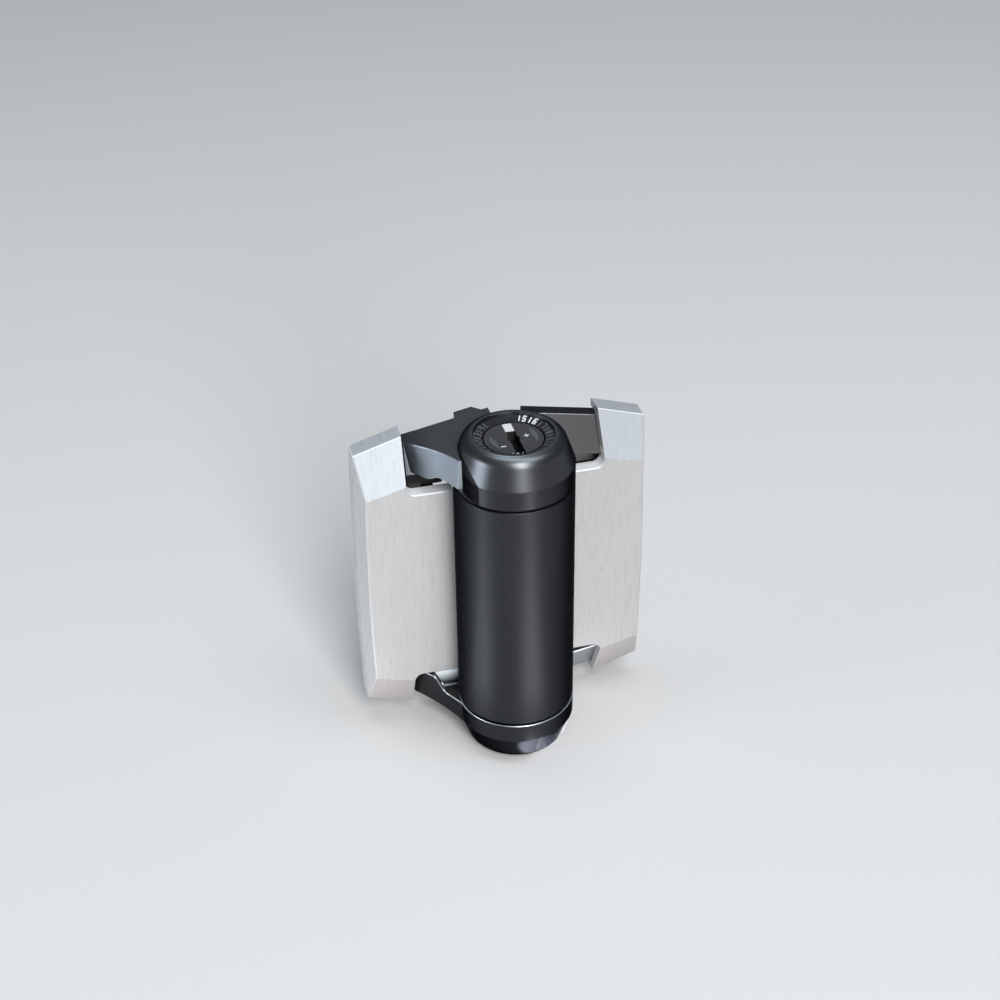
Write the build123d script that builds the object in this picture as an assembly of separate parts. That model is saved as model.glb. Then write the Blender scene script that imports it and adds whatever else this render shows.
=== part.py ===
"""Self-closing gate hinge, in millimetres.

Two leaves turn on a sprung barrel. The origin is on the swing axis at half height. X runs
along the closed gate from the post to the gate, Y runs from the barrel to the face that
the leaves are screwed to, and Z is up. The post leaf is the fork with the two knuckles on
the left, and the gate leaf with the barrel is on the right.
"""
import os
from math import cos, pi, radians, sin

from build123d import *

# Barrel and knuckles
barrel_radius = 16.0
barrel_half = 34.7
knuckle_gap = 0.6
ring_height = 5.5
cone_height = 8.2
rim_radius = 11.3
crown_radius = 13.4
crown_drop = 0.8
crown_round = 3.5
ring_round = 0.35
recess_radius = 10.6
barrel_round = 0.4
barrel_wall = 3.4
barrel_floor = 3.7
# The knuckles are flattened on the side of the arms, by a large arc
flat_radius = 26.0
flat_reach = 14.25
lower_flat_reach = 16.0
lower_flat_lean = 0.6

# Face that the leaves are screwed to, and the leaves behind the covers
mount_y = 19.1
plate_thickness = 1.5
leaf_front_y = 12.4
leaf_inner_x = 18.2
leaf_outer_x = 37.0
leaf_below_notch = 2.8
ear_inner_x = 28.3
ear_above_notch = 6.7
ear_front_y = 15.6

# Screw holes of each leaf
hole_radius = 2.6
hole_inner_x = 22.6
hole_spacing_x = 10.6
hole_spacing_z = 40.0
counterbore_radius = 4.6
counterbore_depth = 1.0

# Arms between the leaves and the knuckles
arm_end_x = 28.0
arm_height = 8.9
arm_top_inner_x = 11.4
arm_slope = 0.19
arm_web_y = 16.6
arm_web_inner_x = 15.6
tip_x = 14.8
tip_y = -1.0
arm_mid_x = 20.4
arm_mid_y = 8.8
arm_root_x = 29.0
arm_root_y = 18.07
arm_shoulder_x = 11.0
arm_shoulder_y = -1.8
arm_neck_x = 6.0
arm_neck_y = 3.0
arm_heel_x = 2.0
arm_heel_y = 11.0
arm_edge_round = 0.3
# Inner side of the arms: the upper one's underside, and the lower one's top with its wall
arm_step = 1.9
step_start_x = 18.8
step_end_x = 20.8
arm_lean = (0.75, 0.5)
foot_drop = 0.3
foot_clearance = 0.4
foot_start_x = 19.2
foot_end_x = 21.6
foot_lean = (0.0, 3.2)
step_round = 1.8
foot_wall_y = 7.8
foot_wall_inner_x = 14.6
foot_wall_round = 1.4
foot_cove_outer_x = 20.4
cheek_inner_x = 22.5
cheek_outer_x = 26.0
cheek_low_y = 11.2
cheek_high_y = 15.2
cheek_thickness = 4.0
tab_outer_x = 10.7
tab_inner_x = 5.9
tab_reach = 2.8
arm_back_x = 3.0
part_line = 0.12

# Arms of the gate leaf, which pass behind the knuckles
gate_arm_inner_x = 6.9
gate_arm_rise = 3.3
gate_arm_low_x = 20.6
gate_arm_low_slope = 0.18
gate_arm_low_y = 10.6
gate_arm_high_y = 15.4
gate_foot_inner_x = 9.0
gate_foot_rise = 4.2
gate_foot_low_y = 10.8
gate_foot_high_y = 15.2
gate_foot_extra = 0.9
gate_arm_round = 0.35
gate_cap_gap = 0.5
web_inner_x = 9.0
web_behind_lip = 0.4
web_outer_x = 17.4

# Clip-on covers
cover_wall = 1.2
cover_face_y = 7.55
cover_rim_y = 13.65
cover_barrel_gap = 0.35
cover_tall_x = 27.1
cover_tall_back_x = 26.5
cover_side_room = 1.7
cover_side_slope = 1.9
cover_bulge = 0.5
notch_drop = 4.1
lower_notch_extra = 0.9
rim_above_notch = 11.0
rim_rise = 3.9
face_above_notch = 0.0
face_rise = 2.9
notch_round = 2.4
lip_depth = 3.85
cover_round = 0.5
window_clearance = 0.3
window_rise = 1.9
cut_room = 0.1
carrier_thickness = 1.6
carrier_margin = 6.0
carrier_inset = 2.0
carrier_end_inset = 1.0
carrier_window = 8.0
carrier_rail_width = 4.0
carrier_rail_z = 9.0
carrier_rail_depth = 1.2
rail_clearance = 0.3

# Eyes of the post leaf, spring holder, bushes and pin
eye_radius = 12.0
eye_height = 4.7
cap_fit = 0.1
holder_radius = 9.05
running_fit = 0.05
holder_reach = 2.6
bush_height = 6.0
pin_bush_wall = 1.6
eye_relief = 0.2
pin_radius = 4.0
pin_end = 2.5
pin_head_radius = 7.0
pin_head_height = 2.5
anchor_flange = 9.5
anchor_boss = 6.5
clip_thickness = 0.8
clip_groove = 0.8
clip_reach = 2.0
clip_gap = 0.3
clip_opening = 3.2
washer_thickness = 0.5
washer_recess = 0.8
washer_bore_room = 0.25
snap_wire = 0.6
snap_height = 2.6
snap_start_angle = -150.0
snap_span_angle = 200.0
snap_end_angle = 5.0
anchor_key_width = 3.0
anchor_key_depth = 1.2

# Torsion spring
wire_radius = 1.2
coil_radius = 10.9
coil_low_room = 2.0
coil_high_room = 2.1
coil_turns = 15.5
tail_bend = 3.2
tail_length = 1.0
tail_clearance = 0.3

# Tension dial, its ring, ratchet and click spring
dial_radius = 7.7
dial_sink = 1.65
dial_thickness = 3.9
dial_slot_width = 2.5
dial_slot_depth = 3.0
dial_centre_radius = 1.65
pointer_length = 3.8
pointer_sink = 0.2
ring_clearance = 0.4
ring_sink = 1.0
ring_slope = 0.65
ring_thickness = 3.0
shoulder_width = 1.0
shoulder_thickness = 1.0
cavity_radius = 11.3
hex_flats = 9.0
hex_length = 6.0
ratchet_radius = 10.2
ratchet_height = 3.0
ratchet_teeth = 24
ratchet_scallop = 0.6
click_wall = 0.4
click_span_angle = 120.0
click_clearance = 0.3
click_tab = 0.9
click_tab_width = 0.8
click_bump = 0.5
plug_thickness = 3.4
plug_slot = 2.0

# Small screws between each leaf and its backing plate
plate_screw_radius = 1.5
plate_screw_head = 2.8
plate_screw_sink = 0.3
plate_screw_head_height = 1.4
plate_screw_step = 5.5
plate_screw_slot = 0.7
plate_screw_slot_depth = 0.6

# Places worked out from the sizes above
knuckle_low = barrel_half + knuckle_gap
arm_top_inner = knuckle_low + arm_height
step_low = knuckle_low - arm_step
notch_height = step_low - notch_drop
foot_high = knuckle_low + foot_drop
lower_notch_height = notch_height + lower_notch_extra
foot_low = lower_notch_height + foot_clearance
gate_arm_low = notch_height + gate_arm_rise
gate_foot_low = lower_notch_height + gate_foot_rise
leaf_half_height = notch_height - leaf_below_notch
ear_half_height = notch_height + ear_above_notch
cover_inner_x = ((barrel_radius + cover_barrel_gap) ** 2 - cover_face_y ** 2) ** 0.5
cover_rim_x = leaf_outer_x + cover_side_room + cover_wall
lip_y = cover_face_y + lip_depth
web_front_y = lip_y + web_behind_lip
cover_face_x = cover_rim_x - cover_side_slope
rim_top_outer = notch_height + rim_above_notch
rim_top_inner = rim_top_outer + rim_rise
face_top_outer = notch_height + face_above_notch
face_top_inner = face_top_outer + face_rise
window_top = rim_top_outer + window_rise
plate_screw_z = hole_spacing_z / 2 - plate_screw_step
ring_top = knuckle_low + ring_height
rim_top = ring_top + cone_height
bore_radius = barrel_radius - barrel_wall
eye_top = knuckle_low + eye_height
plate_front_y = mount_y - plate_thickness
hole_centre_x = hole_inner_x + hole_spacing_x / 2
dial_top = rim_top - dial_sink
dial_low = dial_top - dial_thickness
dial_ring_top = rim_top - ring_sink
dial_ring_low = dial_ring_top - ring_thickness
ratchet_top = dial_low
ratchet_low = ratchet_top - ratchet_height
cavity_top = dial_ring_low - shoulder_thickness
floor_top = barrel_floor - barrel_half
anchor_flange_top = floor_top + anchor_flange
anchor_boss_top = anchor_flange_top + anchor_boss
pin_top = anchor_boss_top + pin_end
coil_low = anchor_flange_top + coil_low_room
coil_high = barrel_half - bush_height - coil_high_room
holder_low = coil_high - holder_reach
pin_bush_radius = pin_radius + running_fit + pin_bush_wall
tail_end = coil_radius - tail_bend - tail_length
upper_arm = (knuckle_low, step_start_x, step_low, step_end_x, arm_lean)
lower_arm = (foot_high, foot_start_x, foot_low, foot_end_x, foot_lean)
gate_arm_shape = (gate_arm_inner_x, gate_arm_low, gate_arm_low_y, gate_arm_high_y, 0.0)
gate_foot_shape = (gate_foot_inner_x, gate_foot_low, gate_foot_low_y, gate_foot_high_y, gate_foot_extra)
# Depth by which pieces of one moulding run into each other, and a length past the whole hinge
leaf_overlap = 2.0
far = 60.0


def cylinder(radius, low, high):
    """Round bar on the swing axis between two heights."""
    return Pos(0, 0, low) * extrude(Circle(radius), high - low)


def tube(inner, outer, low, high):
    """Ring on the swing axis between two heights."""
    return cylinder(outer, low, high) - cylinder(inner, low - 1, high + 1)


def block(x, y, z):
    """Box between the two ends given for each axis."""
    size = [abs(b - a) for a, b in (x, y, z)]
    centre = [(a + b) / 2 for a, b in (x, y, z)]
    return Pos(*centre) * Box(*size)


def bar_y(x, z, radius, y_from, y_to):
    """Round bar along Y."""
    start = Plane((x, y_from, z), x_dir=(1, 0, 0), z_dir=(0, 1, 0))
    return extrude(start * Circle(radius), y_to - y_from)


def upright(y):
    """Plane that faces the viewer at one depth, with X and Z as its axes."""
    return Plane((0, y, 0), x_dir=(1, 0, 0), z_dir=(0, -1, 0))


def side_prism(points, y_from, y_to):
    """Outline in X and Z carried along Y."""
    return extrude(upright(y_from) * make_face(Polyline(points, close=True)), y_from - y_to)


def to_left(shape):
    return mirror(shape, about=Plane.YZ)


def to_bottom(shape):
    return mirror(shape, about=Plane.XY)


def arm_top(x):
    """Height of the sloping top of both arms."""
    return arm_top_inner - arm_slope * (x - arm_top_inner_x)


def hex_bar(flats, low, high):
    return Pos(0, 0, low) * extrude(RegularPolygon(flats / 2, 6, major_radius=False), high - low)


def hole_places(side):
    """Centres of the four screw holes of one leaf, as X and Z."""
    outer_x = hole_inner_x + hole_spacing_x
    half_z = hole_spacing_z / 2
    return [(side * x, z) for x in (hole_inner_x, outer_x) for z in (-half_z, half_z)]


def plate_screw_places(side):
    return [(side * hole_centre_x, z) for z in (-plate_screw_z, plate_screw_z)]


def leaf_core():
    """Flat moulding behind the right cover, with its screw holes and rail grooves."""
    body = block((leaf_inner_x, leaf_outer_x), (leaf_front_y, plate_front_y),
                 (-leaf_half_height, leaf_half_height))
    body += block((ear_inner_x, leaf_outer_x), (ear_front_y, plate_front_y),
                  (-ear_half_height, ear_half_height))
    for x, z in hole_places(1):
        body -= bar_y(x, z, hole_radius, leaf_front_y - 1, plate_front_y + 1)
        body -= bar_y(x, z, counterbore_radius, leaf_front_y - 1, leaf_front_y + counterbore_depth)
    for x, z in plate_screw_places(1):
        body -= bar_y(x, z, plate_screw_radius, leaf_front_y - 1, plate_front_y + 1)
        head_floor = leaf_front_y + plate_screw_sink + plate_screw_head_height
        body -= bar_y(x, z, plate_screw_head, leaf_front_y - 1, head_floor)
    groove_half = carrier_rail_width / 2 + rail_clearance
    groove_floor = leaf_front_y + carrier_rail_depth + rail_clearance
    for z in (-carrier_rail_z, carrier_rail_z):
        body -= block((0, far), (leaf_front_y - 1, groove_floor), (z - groove_half, z + groove_half))
    return body


def backing_plate():
    """Steel plate that lies on the gate, right hand."""
    body = block((leaf_inner_x, leaf_outer_x), (plate_front_y, mount_y),
                 (-leaf_half_height, leaf_half_height))
    body += block((ear_inner_x, leaf_outer_x), (plate_front_y, mount_y),
                  (-ear_half_height, ear_half_height))
    for x, z in hole_places(1):
        body -= bar_y(x, z, hole_radius, plate_front_y - 1, mount_y + 1)
    for x, z in plate_screw_places(1):
        body -= bar_y(x, z, plate_screw_radius, plate_front_y - 1, mount_y + 1)
    return body


def plate_screws():
    """The two small screws that hold the right moulding to its plate."""
    screws = []
    for x, z in plate_screw_places(1):
        head_y = leaf_front_y + plate_screw_sink
        screw = bar_y(x, z, plate_screw_head, head_y, head_y + plate_screw_head_height)
        screw += bar_y(x, z, plate_screw_radius, head_y, mount_y)
        slot_half = plate_screw_slot / 2
        screw -= block((x - far, x + far), (head_y - 1, head_y + plate_screw_slot_depth),
                       (z - slot_half, z + slot_half))
        screws.append(screw)
    return Compound(children=screws)


def leaning_bar(plan, low, shift):
    """A plan carried upwards from a height, which moves by the shift over the height of an arm."""
    run = (far - low) / arm_height
    place = Vector(*shift) * ((low - arm_top_inner) / arm_height)
    way = Vector(shift[0] * run, shift[1] * run, far - low)
    return extrude(Pos(place.X, place.Y, low) * plan, way.length, dir=way.normalized())


def fork_plan(grow):
    """Plan of an arm of the post leaf, mirrored to the right, open towards the post."""
    tip = (tip_x, tip_y)
    root = (arm_root_x, arm_root_y)
    front = ThreePointArc(tip, (arm_mid_x, arm_mid_y), root)
    rest = Polyline([root, (arm_root_x, far), (arm_back_x, far), (arm_heel_x, arm_heel_y),
                     (arm_neck_x, arm_neck_y), (arm_shoulder_x, arm_shoulder_y), tip])
    face = make_face([front, rest])
    return offset(face, grow, kind=Kind.INTERSECTION) if grow else face


def arm_back():
    """Space in front of the post, with the alignment tab that stands beside it."""
    tab = make_face(Polyline([
        (tab_outer_x, mount_y - 1), (tab_outer_x, mount_y + tab_reach),
        (tab_inner_x, mount_y + tab_reach), (arm_back_x, mount_y - 1)], close=True))
    return block((0, far), (-far, mount_y), (0, far)) + extrude(tab, far)


def fork_arm(shape, grow=0.0):
    """One arm of the post leaf, upper and right hand, with a rounded step in its inner side.

    Its shape is the step's first height and X, its last ones, and how far the front leans.
    """
    start_z, start_x, end_z, end_x, lean = shape
    side = upright(-far) * make_face(Polyline([
        (0, start_z - grow), (start_x, start_z - grow), (end_x, end_z - grow),
        (arm_end_x, end_z - grow), (arm_end_x, arm_top(arm_end_x) + grow), (0, arm_top(0) + grow)],
        close=True))
    corners = side.vertices().filter_by(lambda v: start_x <= v.X <= end_x)
    bar = leaning_bar(fork_plan(grow), min(start_z, end_z) - 1, (-lean[0], lean[1]))
    arm = bar & arm_back() & extrude(fillet(corners, step_round), -2 * far)
    front = max(arm.faces().filter_by(is_front), key=lambda f: f.area)
    return fillet(front.edges().filter_by(lambda e: e.center().X < arm_end_x - 1), arm_edge_round)


def is_front(face):
    """Whether a face of an arm is the curved one that leans forwards."""
    return face.geom_type in (GeomType.CYLINDER, GeomType.EXTRUSION) and face.normal_at().Y < 0


def arm_around_cap(shape, grow=0.0):
    """An arm without the inside of the cap, and with room at its root for the cover."""
    arm = fork_arm(shape, grow) - block((cheek_outer_x, far), (-far, gate_arm_high_y), (0, far))
    return arm - cylinder(eye_radius - eye_relief - grow, eye_top, far)


def arm_cheek(low):
    """Sloping part of the leaf beside an arm, inside the notch of the cover."""
    high = arm_top(cheek_inner_x)
    profile = Plane.YZ * make_face(Polyline([
        (cheek_low_y, low), (cheek_high_y, high), (cheek_high_y + cheek_thickness, high),
        (cheek_high_y + cheek_thickness, low)], close=True))
    body = Pos(cheek_inner_x, 0, 0) * extrude(profile, cheek_outer_x - cheek_inner_x)
    slope = side_prism([(0, 0), (far, 0), (far, arm_top(far)), (0, arm_top(0))], -far, far)
    return body & slope & notch_cutter(-window_clearance, low)


def fork_half(shape, notch):
    """An arm and its eye on the post leaf, mirrored to the right and upwards."""
    body = arm_around_cap(shape) + cylinder(eye_radius, knuckle_low, eye_top) + arm_cheek(notch)
    web_top = step_low + 1
    body += block((leaf_inner_x, arm_end_x), (arm_web_y, mount_y), (leaf_half_height, web_top))
    body += block((arm_web_inner_x, leaf_inner_x + 1), (arm_web_y, mount_y),
                  (leaf_half_height, knuckle_low + 1))
    return body + block((leaf_inner_x, arm_end_x), (arm_web_y, plate_front_y),
                        (leaf_half_height - leaf_overlap, web_top))


def foot_wall():
    """Wall of the lower arm under the cover, mirrored to the right and upwards."""
    wall = block((foot_wall_inner_x, foot_end_x), (foot_wall_y, arm_web_y), (foot_low, foot_high))
    across = (foot_wall_inner_x, foot_cove_outer_x)
    cove = block(across, (foot_wall_y - foot_wall_round, foot_wall_y),
                 (foot_high - foot_wall_round, foot_high))
    cove -= Pos(0, foot_wall_y - foot_wall_round, foot_high - foot_wall_round) * (
        Rot(0, 90, 0) * extrude(Circle(foot_wall_round), far))
    return wall + cove + block(across, (foot_wall_y - foot_wall_round, arm_web_y),
                               (foot_high, foot_high + foot_wall_round))


def snap_wire_ring(start, span):
    """Round wire bent round the eye, open at the back."""
    arc = CenterArc((0, 0, knuckle_low + snap_height), eye_radius + cap_fit / 2, start, span)
    section = Plane(origin=arc @ 0, z_dir=arc % 0) * Circle(snap_wire)
    return sweep(section, path=arc)


def snap_groove():
    """Groove for the snap ring, half in the eye and half in the cap."""
    return snap_wire_ring(snap_start_angle - snap_end_angle, snap_span_angle + 2 * snap_end_angle)


def post_leaf():
    """Fork of the post leaf: two arms with eyes, and the flat part behind the cover."""
    groove = to_left(snap_groove())
    upper = fork_half(upper_arm, notch_height) - cylinder(holder_radius + running_fit, 0, far) - groove
    lower = fork_half(lower_arm, lower_notch_height) + foot_wall()
    lower -= cylinder(pin_radius, 0, far) + groove
    return to_left(leaf_core() + upper + to_bottom(lower))


def gate_bar(shape, grow=0.0):
    """Arm of the gate leaf, upper and right hand, with a front that follows the slope of the cover.

    Its shape is its inner end, its lowest height, the depths of its front there and at the top,
    and how much it is taller than the arms of the post leaf.
    """
    inner_x, low, low_y, high_y, extra = shape
    ends = []
    for x in (inner_x - grow, arm_end_x + grow):
        low_z = low - gate_arm_low_slope * (x - gate_arm_low_x) - grow
        high_z = arm_top(x) + extra + grow
        ends.append(Pos(x, 0, 0) * (Plane.YZ * make_face(Polyline([
            (low_y - grow, low_z), (high_y - grow, high_z), (mount_y, high_z), (mount_y, low_z)],
            close=True))))
    return loft(ends, ruled=True)


def gate_half(shape):
    """An arm of the gate leaf that clears the knuckle cap, with the web beneath it."""
    bar = gate_bar(shape)
    front = bar.faces().filter_by(lambda f: f.normal_at().Y < -0.5).sort_by(Axis.Y)[0]
    bar = fillet(front.edges(), gate_arm_round)
    bar -= cylinder(barrel_radius + gate_cap_gap, barrel_half, far)
    top = shape[1] + 1
    bar += block((web_outer_x - 1, arm_end_x), (arm_web_y, mount_y), (leaf_half_height, top))
    return bar + block((web_outer_x - 1, arm_end_x), (arm_web_y, plate_front_y),
                       (leaf_half_height - leaf_overlap, top))


def gate_leaf():
    """Barrel, web, flat part and the two arms that pass behind the knuckles."""
    barrel = cylinder(barrel_radius, -barrel_half, barrel_half)
    barrel = fillet(barrel.edges().filter_by(GeomType.CIRCLE), barrel_round)
    body = barrel + block((web_inner_x, web_outer_x), (web_front_y, mount_y), (-barrel_half, barrel_half))
    body += block((web_outer_x - 1, leaf_inner_x + 1), (leaf_front_y, plate_front_y),
                  (-leaf_half_height, leaf_half_height))
    body += gate_half(gate_arm_shape) + to_bottom(gate_half(gate_foot_shape)) + leaf_core()
    body -= cylinder(bore_radius, barrel_floor - barrel_half, far)
    body -= anchor_keys()
    return body - cylinder(pin_bush_radius, -far, 0)


def rim_line(x):
    return rim_top_inner - (rim_top_inner - rim_top_outer) * (x - cover_tall_x) / (cover_rim_x - cover_tall_x)


def face_line(x):
    return face_top_inner - (face_top_inner - face_top_outer) * (x - cover_tall_x) / (cover_face_x - cover_tall_x)


def cover_section(y, outer_x, line, inner_x, shrink):
    """Outline of the cover at one depth, with its outer edge as a shallow arc."""
    top_in = line(inner_x) - shrink
    top_out = line(outer_x + shrink) - shrink
    edge = ThreePointArc((outer_x, -top_out), (outer_x + cover_bulge, 0), (outer_x, top_out))
    rest = Polyline([(outer_x, top_out), (inner_x, top_in), (inner_x, -top_in), (outer_x, -top_out)])
    return upright(y) * make_face([edge, rest])


def notch_cutter(grow, height):
    """Space of a notch that starts at a height, widened by the wall for the inside of the cover."""
    front_x = cover_tall_x + grow
    slant = (cover_tall_back_x - cover_tall_x) / (mount_y - cover_face_y)
    plan = make_face(Polyline([(0, 0), (front_x - slant * cover_face_y, 0),
                               (front_x + slant * (far - cover_face_y), far), (0, far)], close=True))
    low = height - grow
    cutter = Pos(0, 0, low) * extrude(plan, far)
    edge = cutter.edges().filter_by(lambda e: abs(e.center().Z - low) < 0.01).sort_by(Axis.X)[-1]
    return fillet(edge, notch_round + grow)


def pillow(shrink, back_y):
    """Pillow shape of the right cover without its notches, shrunk on every side but the back."""
    face_y = cover_face_y + shrink
    share = shrink / (cover_rim_y - cover_face_y)
    face_x = cover_face_x + share * (cover_rim_x - cover_face_x) - shrink
    inner_x = cover_inner_x + shrink

    def raised_face(x):
        return face_line(x) + share * (rim_line(x) - face_line(x))

    front = cover_section(face_y, face_x, raised_face, inner_x, shrink)
    rim = cover_section(cover_rim_y, cover_rim_x - shrink, rim_line, inner_x, shrink)
    return loft([front, rim], ruled=True) + extrude(rim, cover_rim_y - back_y)


def cover_solid(shrink, back_y):
    """Filled shape of the right cover, shrunk by a wall on every side but the back."""
    lower_cutter = notch_cutter(shrink, lower_notch_height)
    return pillow(shrink, back_y) - notch_cutter(shrink, notch_height) - to_bottom(lower_cutter)


def cover():
    """Pressed cover of the right leaf, open at the back and where the arms enter."""
    outer = cover_solid(0, mount_y)
    bent = outer.edges().filter_by(lambda e: e.center().X > cover_tall_x and e.center().Y < mount_y)
    shell = fillet(bent, cover_round) - cover_solid(cover_wall, mount_y + 1)
    behind_lips = Pos(0, lip_depth, 0) * pillow(0, mount_y)
    low = notch_height - cover_wall - cut_room
    for side in (-1, 1):
        shell -= behind_lips & block((0, cover_tall_x + cover_wall + window_clearance), (0, far),
                                     (side * low, side * window_top))
    shell -= gate_bar(gate_arm_shape, window_clearance)
    shell -= to_bottom(gate_bar(gate_foot_shape, window_clearance))
    return shell - block((0, cover_inner_x + cover_wall + cut_room), (lip_y, far), (-far, far))


def cover_carrier():
    """Moulded carrier glued inside the right cover, with the two rails it slides on."""
    front_y = cover_face_y + cover_wall
    ends = (leaf_inner_x + carrier_inset, leaf_outer_x - carrier_end_inset)
    reach = carrier_rail_z + carrier_margin
    body = block(ends, (front_y, front_y + carrier_thickness), (-reach, reach))
    half = carrier_rail_width / 2
    for z in (-carrier_rail_z, carrier_rail_z):
        body += block(ends, (front_y, leaf_front_y + carrier_rail_depth), (z - half, z + half))
    half = carrier_window / 2
    return body - block((hole_centre_x - half, hole_centre_x + half), (0, far), (-half, half))


def cap_profile():
    """Half section of a knuckle cap, from the eye to the rim."""
    inner = eye_radius + cap_fit
    shoulder = recess_radius - shoulder_width
    face = make_face(Polyline([
        (inner, knuckle_low), (barrel_radius, knuckle_low), (barrel_radius, ring_top),
        (crown_radius, rim_top - crown_drop), (rim_radius, rim_top), (recess_radius, rim_top),
        (recess_radius, dial_ring_low), (shoulder, dial_ring_low), (shoulder, cavity_top), (cavity_radius, cavity_top),
        (cavity_radius, eye_top + cap_fit), (inner, eye_top + cap_fit)], close=True))
    face = fillet(face.vertices().filter_by(lambda v: v.X > barrel_radius - cut_room), ring_round)
    crown = face.vertices().filter_by(lambda v: v.Y > ring_top + cut_room).sort_by(Axis.X)[-1]
    return Plane.XZ * fillet(crown, crown_round)


def blank_cap(shape, reach, lean):
    """Upper knuckle cap, flattened towards the arm and cut out where the arm enters."""
    body = revolve(cap_profile(), Axis.Z)
    flat = leaning_bar(Pos(flat_radius - reach + lean, 0) * Circle(flat_radius), knuckle_low - 1, (lean, 0))
    body = (body & flat) - to_left(arm_around_cap(shape, part_line)) - snap_groove()
    return body.solids().sort_by(SortBy.VOLUME)[-1]


def click_end(width):
    """Bent end of the click spring, which sits in a slot in the wall of the cap."""
    end = block((ratchet_radius + click_clearance, cavity_radius + click_tab), (-width / 2, width / 2),
                (ratchet_low + click_clearance, ratchet_top - click_clearance))
    return Rot(0, 0, -click_span_angle / 2) * end


def upper_cap():
    slot = click_end(click_tab_width + cap_fit)
    return blank_cap(upper_arm, flat_reach, 0.0) - slot


def click_spring():
    """Strip of spring steel round the ratchet wheel, with a bump in one of its scallops."""
    inner = ratchet_radius + click_clearance
    low = ratchet_low + click_clearance
    high = ratchet_top - click_clearance
    strip = tube(inner, inner + click_wall, low, high)
    half = radians(click_span_angle / 2)
    wedge = make_face(Polyline([(0, 0), (far * cos(half), -far * sin(half)),
                                (far * cos(half), far * sin(half))], close=True))
    strip &= extrude(wedge, far)
    bump = Pos(inner - click_bump / 2, 0, low) * extrude(Circle(click_bump), high - low)
    return strip + bump + click_end(click_tab_width)


def ratchet_wheel():
    """Wheel under the dial, with shallow scallops round its rim."""
    body = cylinder(ratchet_radius, ratchet_low, ratchet_top)
    step = 360 / ratchet_teeth
    for tooth in range(ratchet_teeth):
        scallop = Pos(ratchet_radius, 0, ratchet_low) * extrude(Circle(ratchet_scallop), ratchet_height)
        body -= Rot(0, 0, tooth * step) * scallop
    return body - hex_bar(hex_flats, 0, far)


def tension_dial():
    """Slotted disc with the hexagon shank that turns the spring holder."""
    body = cylinder(dial_radius, dial_low, dial_top)
    half = dial_slot_width / 2
    body -= block((-half, half), (-far, far), (dial_top - dial_slot_depth, far))
    body -= cylinder(dial_centre_radius, dial_top - dial_slot_depth, far)
    return body + hex_bar(hex_flats, ratchet_low - hex_length, dial_low)


def dial_pointer():
    """Mark that fills the end of the dial's slot on the side of the posts."""
    half = dial_slot_width / 2
    bar = block((-half, half), (dial_radius - pointer_length, dial_radius),
                (dial_top - dial_slot_depth, dial_top - pointer_sink))
    return bar & cylinder(dial_radius, dial_low, dial_top)


def dial_ring():
    """Ring round the dial, with a top that slopes down to the dial."""
    inner = dial_radius + ring_clearance
    section = make_face(Polyline([
        (inner, dial_ring_low), (recess_radius, dial_ring_low), (recess_radius, dial_ring_top),
        (inner, dial_ring_top - ring_slope)], close=True))
    return revolve(Plane.XZ * section, Axis.Z)


def lower_plug():
    """Plug in the recess of the lower cap, with a coin slot across it."""
    body = cylinder(recess_radius, -dial_ring_low - plug_thickness, -dial_ring_low)
    half = plug_slot / 2
    length = recess_radius - plug_slot
    low = -dial_ring_low - plug_thickness
    return body - block((-length, length), (-half, half), (low - 1, low + half))


def spring_holder():
    """Upper holder of the spring: a journal with a hexagon socket and a slot for the tail."""
    body = cylinder(holder_radius, holder_low, ratchet_low)
    body -= hex_bar(hex_flats, ratchet_low - hex_length, far)
    return body - tail_slot(coil_high, 360 * coil_turns, 1)


def anchor_keys():
    """Keys that stop the lower anchor from turning in the barrel."""
    reach = bore_radius + anchor_key_depth
    half = anchor_key_width / 2
    bar = block((-reach, reach), (-half, half), (floor_top, anchor_flange_top))
    return bar - cylinder(bore_radius - 1, -far, far)


def spring_anchor():
    """Lower anchor of the spring, keyed in the barrel, with a slot for the tail."""
    body = tube(pin_bush_radius, bore_radius, floor_top, anchor_flange_top)
    body += tube(pin_bush_radius, holder_radius, anchor_flange_top, anchor_boss_top)
    return body + anchor_keys() - tail_slot(coil_low, 0, -1)


def tail_slot(z, angle, turn):
    """Slot for a tail of the spring, cut from the side."""
    half = wire_radius + tail_clearance
    slot = block((tail_end - tail_clearance, far), (-half, half), (z - half, z + half))
    return Rot(0, 0, angle) * Pos(0, turn * tail_bend, 0) * slot


def coil_point(angle):
    height = coil_low + (coil_high - coil_low) * angle / (2 * pi * coil_turns)
    return Vector(coil_radius * cos(angle), coil_radius * sin(angle), height)


def coil_tangent(angle):
    climb = (coil_high - coil_low) / (2 * pi * coil_turns)
    return Vector(-coil_radius * sin(angle), coil_radius * cos(angle), climb).normalized()


def quarter_turn(start, end):
    """Two arcs that follow the coil over a quarter turn and meet its direction at both ends."""
    first, last = coil_point(start), coil_point(end)
    out, back = coil_tangent(start), coil_tangent(end)
    span = last - first
    both = out + back
    a = both.dot(both) - 4
    b = -2 * span.dot(both)
    c = span.dot(span)
    reach = (-b - (b * b - 4 * a * c) ** 0.5) / (2 * a)
    middle = (first + out * reach + last - back * reach) / 2
    heading = (last - back * reach - first - out * reach).normalized()
    return [Edge.make_tangent_arc(first, out, middle), Edge.make_tangent_arc(middle, heading, last)]


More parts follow.
